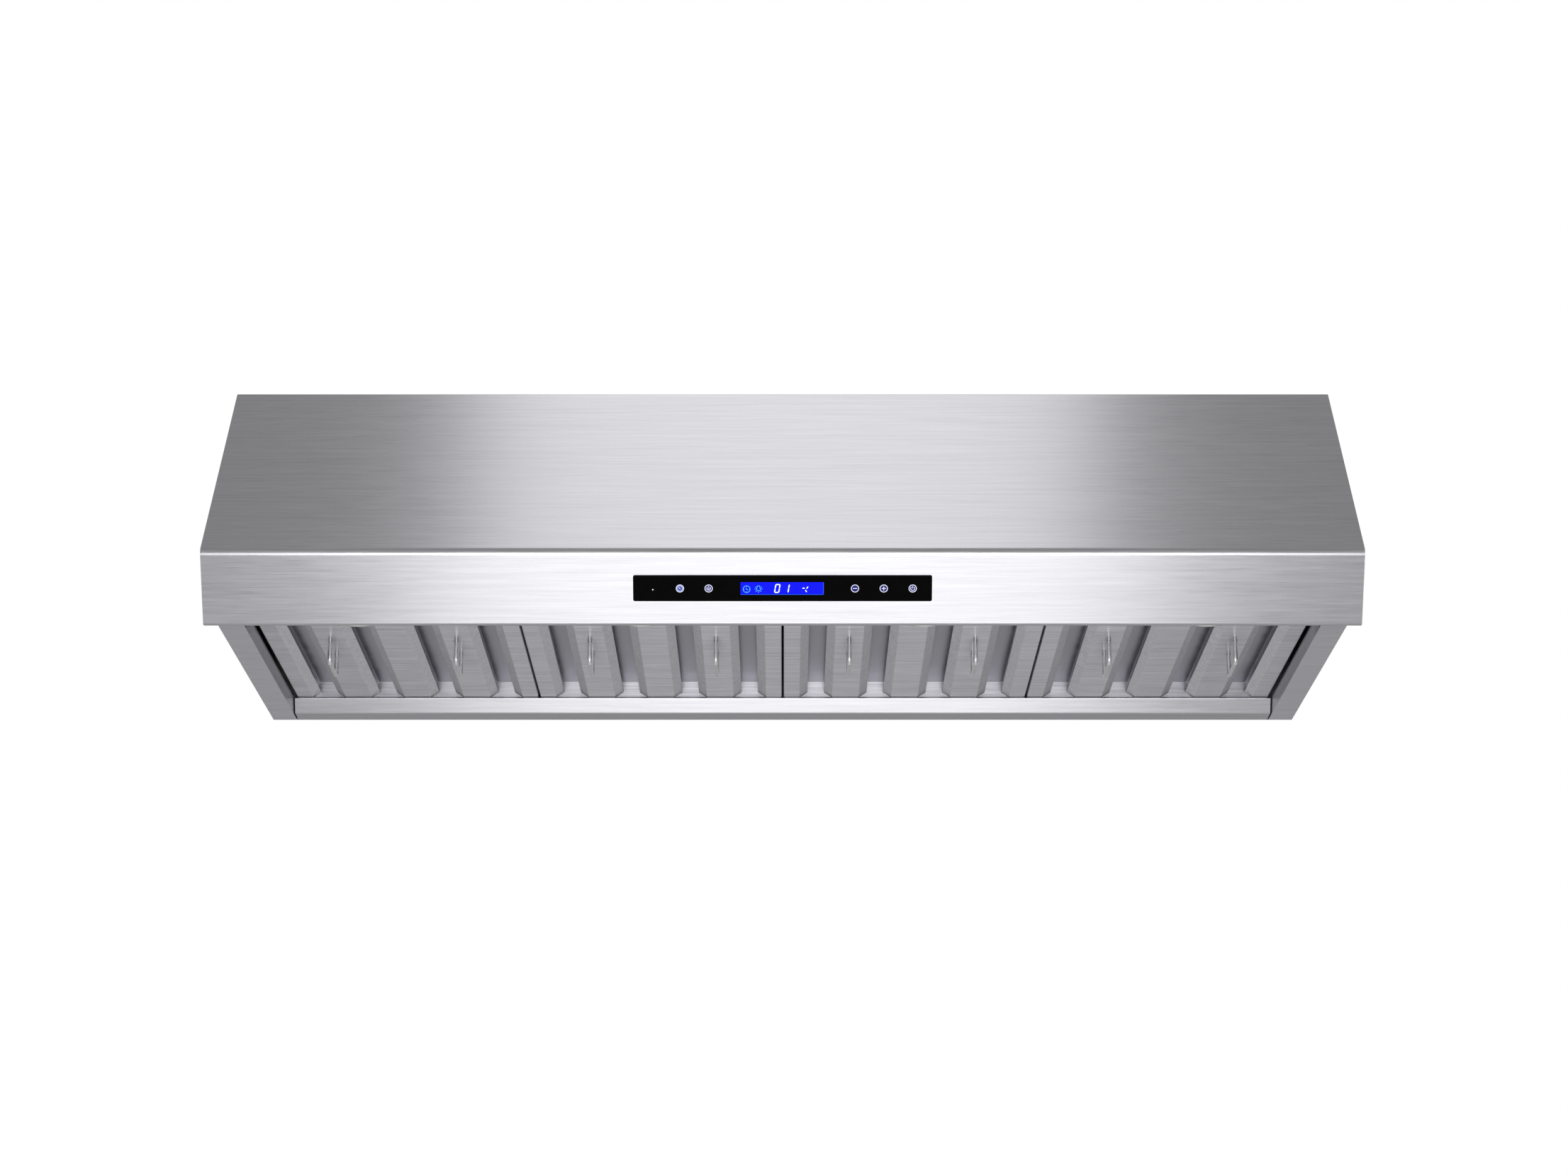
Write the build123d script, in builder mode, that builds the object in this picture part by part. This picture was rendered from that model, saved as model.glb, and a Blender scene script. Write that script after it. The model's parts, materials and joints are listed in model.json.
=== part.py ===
from build123d import *
import os
from math import cos, radians, sin

# Under cabinet range hood, 48 inch class, of folded stainless sheet.
# Row frame: +X to the viewer's right, +Y towards the wall, +Z up, millimetres.
# The origin is the centre of the four cabinet screws, on the outside of the flat top.
# Distances are measured forwards from the wall, heights up from the bottom flange.

# ---- Driving dimensions: casing ----
WIDTH = 1213.0
DEPTH = 618.0
TOP_DEPTH = 391.0
BODY_HEIGHT = 284.6
NOSE_HEIGHT = 44.4
FASCIA_LENGTH = 80.5
FASCIA_LEAN = 30.9
HEM = 6.0
SHEET = 1.0
TOP_BEND, NOSE_BEND, HEM_BEND = 3.0, 8.0, 2.0
FLANGE = 28.0
LIP = 20.0
RAIL_DEPTH, RAIL_TOP_DEPTH = 35.0, 44.0
RAIL_HEIGHT = 18.6
RAIL_UPSTAND = 30.0
RAIL_BEND = 2.0
SHELF_DEPTH = 30.0
LEDGE_BACK = 457.0
LEDGE_FRONT = 540.0
LEDGE_HEIGHT = 4.6
LEDGE_WALL = 45.0
LEDGE_FOOT = 570.0
LEDGE_LAP = 4.0
SEAM_GAP = 2.0
FITTING_GAP = 0.5
BACK_FLANGE, BACK_BEND = 15.0, 1.5
SHIELD_LAP, SHIELD_RETURN = 15.0, 12.0

# ---- Driving dimensions: mounting and duct ----
SCREWS_TO_WALL = 195.0
SCREW_SPACING_X, SCREW_SPACING_Y = 1000.0, 260.0
SCREW_HOLE = 3.5
DUCT_TO_WALL = 150.0
COLLAR_RADIUS = 99.0
COLLAR_HEIGHT = 40.0
COLLAR_FLANGE = 116.0
CABLE_X, CABLE_Y = -515.0, 150.0
CABLE_HOLE = 11.1

# ---- Driving dimensions: baffle filters ----
FILTER_COUNT = 4
FILTER_PITCH = 287.5
FILTER_WIDTH = 285.2
FILTER_FRONT, FILTER_BACK = 449.0, 12.0
FILTER_HEIGHT = 25.0
FILTER_GAP = 0.3
TAIL = 25.0
EDGE_LAND = 18.5
LAND = 31.2
LAND_PITCH = 69.85
SLOPE_RISE, SLOPE_RUN = 6.0, 9.5
ROOF_HALF, ROOF_FLARE = 13.0, 16.0
ROOF_LEVEL, ROOF_FOOT = 19.0, 9.5
FILTER_BEND = 1.5
FRAME_RETURN = 12.0
HANDLE_REACH = 65.5
HANDLE_CENTRE = 308.0
HANDLE_DROP = 29.0
HANDLE_WIRE = 2.4
HANDLE_BEND = 4.0
HANDLE_HEAD, HANDLE_HEAD_THICK = 4.0, 1.5

# ---- Driving dimensions: controls and lights ----
GLASS_WIDTH, GLASS_HEIGHT, GLASS_THICK = 312.0, 28.0, 1.6
GLASS_DROP = 41.0
WINDOW_WIDTH, WINDOW_HEIGHT = 300.0, 22.0
LAMP_X = (-456.0, -152.0, 152.0, 456.0)
GLASS_CORNER, GLASS_CHAMFER = 2.0, 0.3
DISPLAY_WIDTH, DISPLAY_HEIGHT, DISPLAY_DEEP = 96.0, 18.0, 4.0
BOARD_THICK = 1.6
POWER_BOX_X, POWER_BOX_FROM_WALL = 304.0, 500.0
POWER_BOX_SIZE = (190.0, 60.0, 45.0)
LAMP_FROM_WALL = 486.0
LAMP_BODY, LAMP_RIM, LAMP_LENS = 21.0, 24.5, 20.0
LAMP_RIM_DROP, LAMP_FACE_DROP, LENS_DROP = 3.8, 4.6, 4.4
LAMP_CUP, LAMP_TOP = 12.0, 14.0
LENS_THICK, LENS_ROUND = 3.0, 0.7

# ---- Driving dimensions: blowers ----
BLOWER_X, BLOWER_Y = 275.0, 17.0
BLOWER_TOP, BLOWER_BOTTOM = -1.0, -124.0
WALL = 1.2
SCROLL_RADIUS, SCROLL_STEP = 108.0, 14.0
PLENUM_HALF = 112.0
INLET_RADIUS = 74.0
IMPELLER_RADIUS, BLADE_INNER = 95.0, 79.0
IMPELLER_TOP, IMPELLER_FOOT = -16.0, -112.0
BLADES = 36
BLADE_THICK = 0.8
CUP_RADIUS = 62.0
MOTOR_RADIUS = 42.0
SHAFT_RADIUS = 4.0
RUNNING_FIT = 0.05
INLET_FLANGE, INLET_HOLE, INLET_RIM = 1.5, 81.0, 94.0
BELL_FOOT, BELL_START, BELL_LONG = 79.0, 4.0, 15.0
MOTOR_LONG, MOTOR_WALL, MOTOR_CAP, MOTOR_FLANGE = 62.0, 3.0, 6.0, 10.0
STATOR_BORE, STATOR_SLOTS, STATOR_SLOT_RADIUS = 25.0, 12, 31.5
STATOR_LONG, ROTOR_RADIUS, ROTOR_LONG = 36.0, 24.4, 34.0
SHAFT_FOOT = -96.0
HUB_RADIUS, HUB_LONG = 11.0, 16.0
IMPELLER_SHEET = 1.5
SCREW_HOLES = 2.0
BLADE_LINE = ThreePointArc((BLADE_INNER, 0), (89, 2.5), (IMPELLER_RADIUS - 1, 10))

# ---- Driving dimensions: damper, capacitors and screws ----
PIVOT_Z = 13.0
PIN_RADIUS = 2.0
FLAP_RADIUS, FLAP_THICK = 96.4, 0.8
KNUCKLE_RADIUS, KNUCKLE_LONG, KNUCKLE_CLEAR = 3.2, 20.0, 3.6
RUNNING_GAP = 0.3
STOP_HIGH, STOP_DEEP = 1.5, 3.0
CAPACITOR_X, CAPACITOR_Y, CAPACITOR_RADIUS = 150.0, -136.0, 16.0
CAPACITOR_LONG, CAPACITOR_CHAMFER = 48.0, 2.0
JUNCTION_WIDE, JUNCTION_LONG, JUNCTION_DEEP = 80.0, 60.0, 44.0
COVER_LIP, COVER_GAP = 5.0, 0.2
SCREW_SHANK, SCREW_HEAD, SCREW_HEAD_HIGH = 2.0, 3.8, 2.4
SCREW_LONG = 6.0


def front(distance):
    """Y of a point at a distance in front of the wall."""
    return SCREWS_TO_WALL - distance


def level(height):
    """Z of a point at a height above the bottom flange."""
    return height - BODY_HEIGHT


def section(*points):
    """Points of Plane.YZ from pairs of distance from the wall and height above the flange."""
    return [(front(distance), level(height)) for distance, height in points]


def folded(points, bends, thickness=SHEET, side=Side.LEFT):
    """Inside a sketch: the cut face of a sheet folded along its outer line."""
    with BuildLine() as cut:
        line = FilletPolyline(*points, radius=bends)
        offset(line, amount=thickness, side=side)
    make_face(cut.edges())


def save(piece, name):
    """Label a finished piece and write it as its own STEP file."""
    piece.part.label = name
    export_step(piece.part, f"parts/{name}.step")


os.makedirs("parts", exist_ok=True)

HALF = WIDTH / 2
INNER_HALF = HALF - SHEET
LIP_X = HALF - FLANGE
NOSE = (DEPTH, NOSE_HEIGHT)
FOOT = (
    DEPTH - FASCIA_LENGTH * sin(radians(FASCIA_LEAN)),
    NOSE_HEIGHT - FASCIA_LENGTH * cos(radians(FASCIA_LEAN)),
)
TOP_EDGE = (TOP_DEPTH, BODY_HEIGHT)
DUCT_Y = front(DUCT_TO_WALL)

# The fascia's own plane: X along the hood, Y up the fascia towards the nose, Z out of it.
FASCIA_NORMAL = (0, -cos(radians(FASCIA_LEAN)), -sin(radians(FASCIA_LEAN)))
GLASS_CENTRE = (
    0,
    front(DEPTH - GLASS_DROP * sin(radians(FASCIA_LEAN))),
    level(NOSE_HEIGHT - GLASS_DROP * cos(radians(FASCIA_LEAN))),
)
FASCIA = Plane(origin=GLASS_CENTRE, x_dir=(1, 0, 0), z_dir=FASCIA_NORMAL)

# Screws that hold the collar to the top: circle radius, count and first angle.
COLLAR_SCREWS = (107.0, 4, 45)

# ---- Casing ----

# Top, slope, fascia and hem are one folded sheet.
with BuildPart() as canopy_skin:
    with BuildSketch(Plane.YZ):
        folded(
            section((0, BODY_HEIGHT), TOP_EDGE, NOSE, FOOT, (FOOT[0] - HEM, FOOT[1])),
            [TOP_BEND, NOSE_BEND, HEM_BEND],
        )
    extrude(amount=HALF, both=True)
    with BuildSketch(Plane.XY):
        with GridLocations(SCREW_SPACING_X, SCREW_SPACING_Y, 2, 2):
            Circle(SCREW_HOLE)
        with Locations((0, DUCT_Y)):
            Circle(COLLAR_RADIUS - SHEET)
            with PolarLocations(*COLLAR_SCREWS):
                Circle(SCREW_HOLES)
        with Locations((CABLE_X, CABLE_Y)):
            Circle(CABLE_HOLE)
    extrude(amount=-2 * SHEET, mode=Mode.SUBTRACT)
    with BuildSketch(FASCIA):
        RectangleRounded(WINDOW_WIDTH, WINDOW_HEIGHT, 3)
    extrude(amount=4 * SHEET, both=True, mode=Mode.SUBTRACT)
save(canopy_skin, "canopy_skin")

# Each side is a plate inside the canopy's bends, with a bottom flange and an upright lip.
for side, name in ((1, "right"), (-1, "left")):
    with BuildPart() as side_panel:
        with BuildSketch(Plane.YZ.offset(INNER_HALF)):
            with BuildLine():
                FilletPolyline(
                    *section(
                        (-SHEET, BODY_HEIGHT),
                        TOP_EDGE,
                        NOSE,
                        FOOT,
                        (LEDGE_FOOT, FOOT[1]),
                        (LEDGE_FRONT, -SHEET),
                        (-SHEET, -SHEET),
                    ),
                    radius=[0, TOP_BEND, NOSE_BEND, HEM_BEND, 0, 0, 0],
                    close=True,
                )
            make_face()
            offset(amount=-SHEET, mode=Mode.REPLACE)
        extrude(amount=SHEET)
        with BuildSketch(Plane.YZ.offset(LIP_X)):
            folded(
                section((SHEET, 0), (LEDGE_FRONT, 0), (LEDGE_FOOT, FOOT[1] + SHEET)),
                SHEET,
                side=Side.RIGHT,
            )
        extrude(amount=FLANGE - SHEET)
        with BuildSketch(Plane.YZ.offset(LIP_X)):
            with BuildLine():
                Polyline(
                    *section((SHEET, 0), (LEDGE_BACK, 0), (LEDGE_BACK, LIP), (SHEET, LIP)),
                    close=True,
                )
            make_face()
        extrude(amount=SHEET)
        if side < 0:
            mirror(about=Plane.YZ, mode=Mode.REPLACE)
    save(side_panel, f"side_panel_{name}")

# The back closes the case between the sides, with a flange under the top sheet.
with BuildPart() as back_panel:
    with BuildSketch(Plane.YZ):
        folded(
            section((0, 0), (0, BODY_HEIGHT - SHEET), (BACK_FLANGE, BODY_HEIGHT - SHEET)),
            BACK_BEND,
        )
    extrude(amount=INNER_HALF, both=True)
save(back_panel, "back_panel")

# The rear rail is a trough: upstand, bottom, leaning front face and the shelf for the filters.
with BuildPart() as rear_rail:
    with BuildSketch(Plane.YZ):
        folded(
            section(
                (SHEET, RAIL_UPSTAND),
                (SHEET, 0),
                (RAIL_DEPTH, 0),
                (RAIL_TOP_DEPTH, RAIL_HEIGHT),
                (RAIL_TOP_DEPTH - SHELF_DEPTH, RAIL_HEIGHT),
            ),
            RAIL_BEND,
            side=Side.RIGHT,
        )
    extrude(amount=LIP_X - SEAM_GAP, both=True)
save(rear_rail, "rear_rail")

# The front ledge closes the control compartment from below and carries the lamps.
with BuildPart() as front_ledge:
    with BuildSketch(Plane.YZ):
        folded(
            section(
                (FOOT[0] - LEDGE_LAP, FOOT[1] + SHEET),
                (LEDGE_FOOT, FOOT[1] + SHEET),
                (LEDGE_FRONT, LEDGE_HEIGHT),
                (LEDGE_BACK, LEDGE_HEIGHT),
                (LEDGE_BACK, LEDGE_WALL),
            ),
            [2, 3, 2],
        )
    extrude(amount=LIP_X - FITTING_GAP, both=True)
    with BuildSketch(Plane.XY.offset(level(LEDGE_HEIGHT))):
        with Locations(*[(x, front(LAMP_FROM_WALL)) for x in LAMP_X]):
            Circle(LAMP_BODY)
    extrude(amount=2 * SHEET, mode=Mode.SUBTRACT)
save(front_ledge, "front_ledge")

# An upright shield keeps grease out of the control compartment.
SHIELD_TOP = (
    NOSE_HEIGHT
    + (DEPTH - LEDGE_BACK) * (BODY_HEIGHT - NOSE_HEIGHT) / (DEPTH - TOP_DEPTH)
    - 7 * SHEET
)
with BuildPart() as control_shield:
    with BuildSketch(Plane.YZ):
        folded(
            section(
                (LEDGE_BACK + SHEET, LEDGE_WALL - SHIELD_LAP),
                (LEDGE_BACK + SHEET, SHIELD_TOP),
                (LEDGE_BACK + SHEET + SHIELD_RETURN, SHIELD_TOP - SHIELD_RETURN),
            ),
            RAIL_BEND,
        )
    extrude(amount=LIP_X - FITTING_GAP, both=True)
save(control_shield, "control_shield")

# ---- Controls behind the fascia ----

with BuildPart() as touch_glass:
    with BuildSketch(FASCIA):
        RectangleRounded(GLASS_WIDTH, GLASS_HEIGHT, GLASS_CORNER)
    extrude(amount=GLASS_THICK)
    chamfer(touch_glass.faces().sort_by(Axis(GLASS_CENTRE, FASCIA_NORMAL))[-1].edges(), GLASS_CHAMFER)
save(touch_glass, "touch_glass")

with BuildPart() as display_module:
    with BuildSketch(FASCIA):
        RectangleRounded(DISPLAY_WIDTH, DISPLAY_HEIGHT, SHEET)
    extrude(amount=-DISPLAY_DEEP)
save(display_module, "display_module")

with BuildPart() as touch_board:
    with BuildSketch(FASCIA.offset(-DISPLAY_DEEP)):
        RectangleRounded(WINDOW_WIDTH - 6, WINDOW_HEIGHT - 3, SHEET)
        with GridLocations(WINDOW_WIDTH - 16, 0, 2, 1):
            Circle(BOARD_THICK, mode=Mode.SUBTRACT)
    extrude(amount=-BOARD_THICK)
save(touch_board, "touch_board")

# The power board's plastic box stands on the ledge, between two lamps.
with BuildPart() as power_board_box:
    with Locations((POWER_BOX_X, front(POWER_BOX_FROM_WALL), level(LEDGE_HEIGHT + SHEET))):
        Box(*POWER_BOX_SIZE, align=(Align.CENTER, Align.CENTER, Align.MIN))
    fillet(power_board_box.edges().filter_by(Axis.Z), 4)
    offset(amount=-2, openings=power_board_box.faces().sort_by(Axis.Z)[-1])
save(power_board_box, "power_board_box")

# ---- Lamps ----

for number, x in enumerate(LAMP_X, start=1):
    with BuildPart() as lamp_bezel:
        with BuildSketch(Plane.XZ.offset(-front(LAMP_FROM_WALL))):
            with BuildLine():
                Polyline(
                    (x + LAMP_RIM, level(LEDGE_HEIGHT)),
                    (x + LAMP_RIM, level(LEDGE_HEIGHT - LAMP_RIM_DROP)),
                    (x + LAMP_LENS, level(LEDGE_HEIGHT - LAMP_FACE_DROP)),
                    (x + LAMP_LENS, level(LEDGE_HEIGHT + LAMP_CUP)),
                    (x, level(LEDGE_HEIGHT + LAMP_CUP)),
                    (x, level(LEDGE_HEIGHT + LAMP_TOP)),
                    (x + LAMP_BODY, level(LEDGE_HEIGHT + LAMP_TOP)),
                    (x + LAMP_BODY, level(LEDGE_HEIGHT)),
                    close=True,
                )
            make_face()
        revolve(axis=Axis((x, front(LAMP_FROM_WALL), 0), (0, 0, 1)))
    save(lamp_bezel, f"lamp_bezel_{number}")

    with BuildPart() as lamp_lens:
        with BuildSketch(Plane.XY.offset(level(LEDGE_HEIGHT - LENS_DROP))):
            with Locations((x, front(LAMP_FROM_WALL))):
                Circle(LAMP_LENS)
        extrude(amount=LENS_THICK)
        fillet(lamp_lens.faces().sort_by(Axis.Z)[0].edges(), LENS_ROUND)
    save(lamp_lens, f"lamp_lens_{number}")

# ---- Baffle filters ----

FILTER_Z = level(RAIL_HEIGHT) + FILTER_GAP
FILTER_SPAN = FILTER_FRONT - FILTER_BACK
INNER_FRONT = FILTER_FRONT - TAIL
INNER_BACK = FILTER_BACK + TAIL


def across(centre, points):
    """Points of Plane.XZ from pairs of offset from the filter's centre and height above its lands."""
    return [(centre + x, FILTER_Z + z) for x, z in points]


for number in range(1, FILTER_COUNT + 1):
    centre = (number - (FILTER_COUNT + 1) / 2) * FILTER_PITCH
    half = FILTER_WIDTH / 2

    # Perimeter frame: side members with an edge land, front and rear channel members.
    with BuildPart() as filter_frame:
        for hand in (1, -1):
            rim = [
                (half - FRAME_RETURN, FILTER_HEIGHT),
                (half, FILTER_HEIGHT),
                (half, 0),
                (half - EDGE_LAND, 0),
                (half - EDGE_LAND - SLOPE_RUN, SLOPE_RISE),
            ]
            with BuildSketch(Plane.XZ.offset(-front(FILTER_BACK))):
                folded(
                    across(centre, [(hand * x, z) for x, z in rim]),
                    FILTER_BEND,
                    side=Side.RIGHT if hand > 0 else Side.LEFT,
                )
            extrude(amount=FILTER_SPAN)
        for outer, inner in ((FILTER_FRONT, INNER_FRONT), (FILTER_BACK, INNER_BACK)):
            with BuildSketch(Plane.YZ.offset(centre)):
                with BuildLine():
                    channel = Polyline(
                        (front(outer), FILTER_Z + FILTER_HEIGHT - SHEET),
                        (front(outer), FILTER_Z),
                        (front(inner), FILTER_Z),
                        (front(inner), FILTER_Z + FILTER_HEIGHT - SHEET),
                    )
                    offset(channel, amount=SHEET, side=Side.RIGHT if outer < inner else Side.LEFT)
                make_face()
            extrude(amount=half - SHEET, both=True)
    save(filter_frame, f"filter_{number}_frame")

    # Lower layer: three flat lands with flared sides, open to the lower face.
    with BuildPart() as front_baffles:
        for place in (-1, 0, 1):
            land = [
                (LAND / 2 + SLOPE_RUN, SLOPE_RISE),
                (LAND / 2, 0),
                (-LAND / 2, 0),
                (-LAND / 2 - SLOPE_RUN, SLOPE_RISE),
            ]
            with BuildSketch(Plane.XZ.offset(-front(INNER_BACK))):
                folded(across(centre + place * LAND_PITCH, land), FILTER_BEND, side=Side.RIGHT)
            extrude(amount=INNER_FRONT - INNER_BACK)
        with Locations(
            *[
                (centre + hand * LAND_PITCH, front(HANDLE_CENTRE + end * HANDLE_REACH / 2), FILTER_Z)
                for hand in (-1, 1)
                for end in (-1, 1)
            ]
        ):
            Cylinder(HANDLE_WIRE, 4 * SHEET, mode=Mode.SUBTRACT)
    save(front_baffles, f"filter_{number}_front_baffles")

    # Upper layer: inverted channels that roof the gaps of the lower layer.
    with BuildPart() as rear_baffles:
        for place in (-1.5, -0.5, 0.5, 1.5):
            roof = [
                (-ROOF_FLARE, ROOF_FOOT),
                (-ROOF_HALF, ROOF_LEVEL + SHEET),
                (ROOF_HALF, ROOF_LEVEL + SHEET),
                (ROOF_FLARE, ROOF_FOOT),
            ]
            with BuildSketch(Plane.XZ.offset(-front(INNER_BACK))):
                folded(across(centre + place * LAND_PITCH, roof), FILTER_BEND, side=Side.RIGHT)
            extrude(amount=INNER_FRONT - INNER_BACK)
    save(rear_baffles, f"filter_{number}_rear_baffles")

    # Two bent wire pulls, their ends headed over above the lands.
    with BuildPart() as handles:
        for hand in (-1, 1):
            x = centre + hand * LAND_PITCH
            ends = [front(HANDLE_CENTRE + end * HANDLE_REACH / 2) for end in (1, -1)]
            with BuildLine(Plane.YZ.offset(x)) as wire:
                FilletPolyline(
                    (ends[0], FILTER_Z + SHEET),
                    (ends[0], FILTER_Z - HANDLE_DROP),
                    (ends[1], FILTER_Z - HANDLE_DROP),
                    (ends[1], FILTER_Z + SHEET),
                    radius=HANDLE_BEND,
                )
            with BuildSketch(Plane(origin=wire.line @ 0, z_dir=wire.line % 0)):
                Circle(HANDLE_WIRE)
            sweep(path=wire.line)
            with BuildSketch(Plane.XY.offset(FILTER_Z + SHEET)):
                with Locations(*[(x, y) for y in ends]):
                    Circle(HANDLE_HEAD)
            extrude(amount=HANDLE_HEAD_THICK)
    save(handles, f"filter_{number}_handles")

# Leaf clips on the ledge wall that catch the front edge of each filter.
CLIP_HALF, CLIP_THICK, CLIP_REST = 7.0, 0.5, 1.2
CLIP_TOP, CLIP_NOSE, CLIP_FOOT = LEDGE_WALL - 1, LEDGE_WALL - 10, LEDGE_WALL - 22
with BuildPart() as filter_clips:
    for number in range(FILTER_COUNT):
        for hand in (-1, 1):
            x = (number - (FILTER_COUNT - 1) / 2) * FILTER_PITCH + hand * LAND_PITCH
            clip = section(
                (LEDGE_BACK - SHEET, CLIP_TOP),
                (FILTER_FRONT + CLIP_REST, CLIP_NOSE),
                (LEDGE_BACK - SHEET, CLIP_FOOT),
            )
            with BuildSketch(Plane.YZ.offset(x)):
                with BuildLine():
                    leaf = Polyline(*clip)
                    offset(leaf, amount=CLIP_THICK, side=Side.RIGHT)
                make_face()
            extrude(amount=CLIP_HALF, both=True)
save(filter_clips, "filter_clips")

# ---- Blowers: the right one is modelled, and the left one is its mirror image ----

INSIDE_TOP, INSIDE_BOTTOM = BLOWER_TOP - WALL, BLOWER_BOTTOM + WALL
SCROLL_X = BLOWER_X - SCROLL_STEP / 2
SCROLL_Y = BLOWER_Y - SCROLL_STEP / 2
AXIS = Axis((BLOWER_X, BLOWER_Y, 0), (0, 0, 1))


def scroll():
    """Inside a sketch: the volute's plan, four tangent arcs on a growing square of centres."""
    step, radius = SCROLL_STEP, SCROLL_RADIUS
    tongue = radius * sin(radians(45))
    with BuildLine() as plan:
        CenterArc((SCROLL_X, SCROLL_Y), radius, 135, 45)
        CenterArc((SCROLL_X + step, SCROLL_Y), radius + step, 180, 90)
        CenterArc((SCROLL_X + step, SCROLL_Y + step), radius + 2 * step, 270, 90)
        CenterArc((SCROLL_X, SCROLL_Y + step), radius + 3 * step, 0, 90)
        Polyline(
            (SCROLL_X, SCROLL_Y + radius + 4 * step),
            (PLENUM_HALF, SCROLL_Y + radius + 4 * step),
            (PLENUM_HALF, SCROLL_Y + tongue),
            (SCROLL_X - tongue, SCROLL_Y + tongue),
        )
    make_face(plan.edges())


def finish_blower_part(piece, name):
    """Save the right blower's piece and its mirror image."""
    save(piece, f"{name}_right")
    with BuildPart() as twin:
        add(piece.part)
        mirror(about=Plane.YZ, mode=Mode.REPLACE)
    save(twin, f"{name}_left")


INLET_SCREWS = (88.0, 4, 45)

# The scroll's wrap and top are one piece, and the inlet plate closes it from below.
with BuildPart() as blower_housing:
    with BuildSketch(Plane.XY.offset(INSIDE_BOTTOM)):
        scroll()
        offset(amount=WALL, kind=Kind.INTERSECTION)
        split(bisect_by=Plane.YZ.offset(PLENUM_HALF), keep=Keep.TOP)
    extrude(amount=BLOWER_TOP - INSIDE_BOTTOM)
    with BuildSketch(Plane.XY.offset(INSIDE_BOTTOM)):
        scroll()
    extrude(amount=INSIDE_TOP - INSIDE_BOTTOM, mode=Mode.SUBTRACT)
finish_blower_part(blower_housing, "blower_housing")

with BuildPart() as inlet_plate:
    with BuildSketch(Plane.XY.offset(BLOWER_BOTTOM)):
        scroll()
        offset(amount=WALL, kind=Kind.INTERSECTION)
        split(bisect_by=Plane.YZ.offset(PLENUM_HALF), keep=Keep.TOP)
        with Locations((BLOWER_X, BLOWER_Y)):
            Circle(INLET_HOLE, mode=Mode.SUBTRACT)
            with PolarLocations(*INLET_SCREWS):
                Circle(SCREW_HOLES, mode=Mode.SUBTRACT)
    extrude(amount=WALL)
finish_blower_part(inlet_plate, "inlet_plate")

with BuildPart() as inlet_ring:
    with BuildSketch(Plane.XZ.offset(-BLOWER_Y)):
        with BuildLine():
            Polyline(
                (BLOWER_X + INLET_RIM, BLOWER_BOTTOM),
                (BLOWER_X + INLET_RIM, BLOWER_BOTTOM - INLET_FLANGE),
                (BLOWER_X + BELL_FOOT, BLOWER_BOTTOM - INLET_FLANGE),
                (BLOWER_X + INLET_RADIUS, BLOWER_BOTTOM + BELL_START),
                (BLOWER_X + INLET_RADIUS, BLOWER_BOTTOM + BELL_LONG),
                (BLOWER_X + INLET_RADIUS + INLET_FLANGE, BLOWER_BOTTOM + BELL_LONG),
                (BLOWER_X + INLET_RADIUS + INLET_FLANGE, BLOWER_BOTTOM + BELL_START),
                (BLOWER_X + BELL_FOOT + INLET_FLANGE / 2, BLOWER_BOTTOM),
                close=True,
            )
        make_face()
    revolve(axis=AXIS)
    with BuildSketch(Plane.XY.offset(BLOWER_BOTTOM)):
        with Locations((BLOWER_X, BLOWER_Y)):
            with PolarLocations(*INLET_SCREWS):
                Circle(SCREW_HOLES)
    extrude(amount=-INLET_FLANGE, mode=Mode.SUBTRACT)
finish_blower_part(inlet_ring, "inlet_ring")

MOTOR_FOOT = INSIDE_TOP - MOTOR_LONG
MOTOR_BORE = SHAFT_RADIUS + RUNNING_FIT
with BuildPart() as motor_can:
    with BuildSketch(Plane.XZ.offset(-BLOWER_Y)):
        with BuildLine():
            Polyline(
                (BLOWER_X, INSIDE_TOP),
                (BLOWER_X + MOTOR_RADIUS + MOTOR_FLANGE, INSIDE_TOP),
                (BLOWER_X + MOTOR_RADIUS + MOTOR_FLANGE, INSIDE_TOP - 2),
                (BLOWER_X + MOTOR_RADIUS, INSIDE_TOP - 2),
                (BLOWER_X + MOTOR_RADIUS, MOTOR_FOOT + MOTOR_WALL),
                (BLOWER_X + MOTOR_RADIUS - MOTOR_WALL, MOTOR_FOOT),
                (BLOWER_X + MOTOR_BORE, MOTOR_FOOT),
                (BLOWER_X + MOTOR_BORE, MOTOR_FOOT + MOTOR_CAP),
                (BLOWER_X + MOTOR_RADIUS - MOTOR_WALL, MOTOR_FOOT + MOTOR_CAP),
                (BLOWER_X + MOTOR_RADIUS - MOTOR_WALL, INSIDE_TOP - 2 - MOTOR_CAP),
                (BLOWER_X + MOTOR_BORE, INSIDE_TOP - 2 - MOTOR_CAP),
                (BLOWER_X + MOTOR_BORE, INSIDE_TOP - 2),
                (BLOWER_X, INSIDE_TOP - 2),
                close=True,
            )
        make_face()
    revolve(axis=AXIS)
finish_blower_part(motor_can, "motor_can")

with BuildPart() as motor_stator:
    with BuildSketch(Plane.XY.offset(MOTOR_FOOT + 2 * MOTOR_CAP)):
        with Locations((BLOWER_X, BLOWER_Y)):
            Circle(MOTOR_RADIUS - MOTOR_WALL)
            Circle(STATOR_BORE, mode=Mode.SUBTRACT)
            with PolarLocations(STATOR_SLOT_RADIUS, STATOR_SLOTS):
                SlotOverall(8, 3, mode=Mode.SUBTRACT)
    extrude(amount=STATOR_LONG)
finish_blower_part(motor_stator, "motor_stator")

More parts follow.
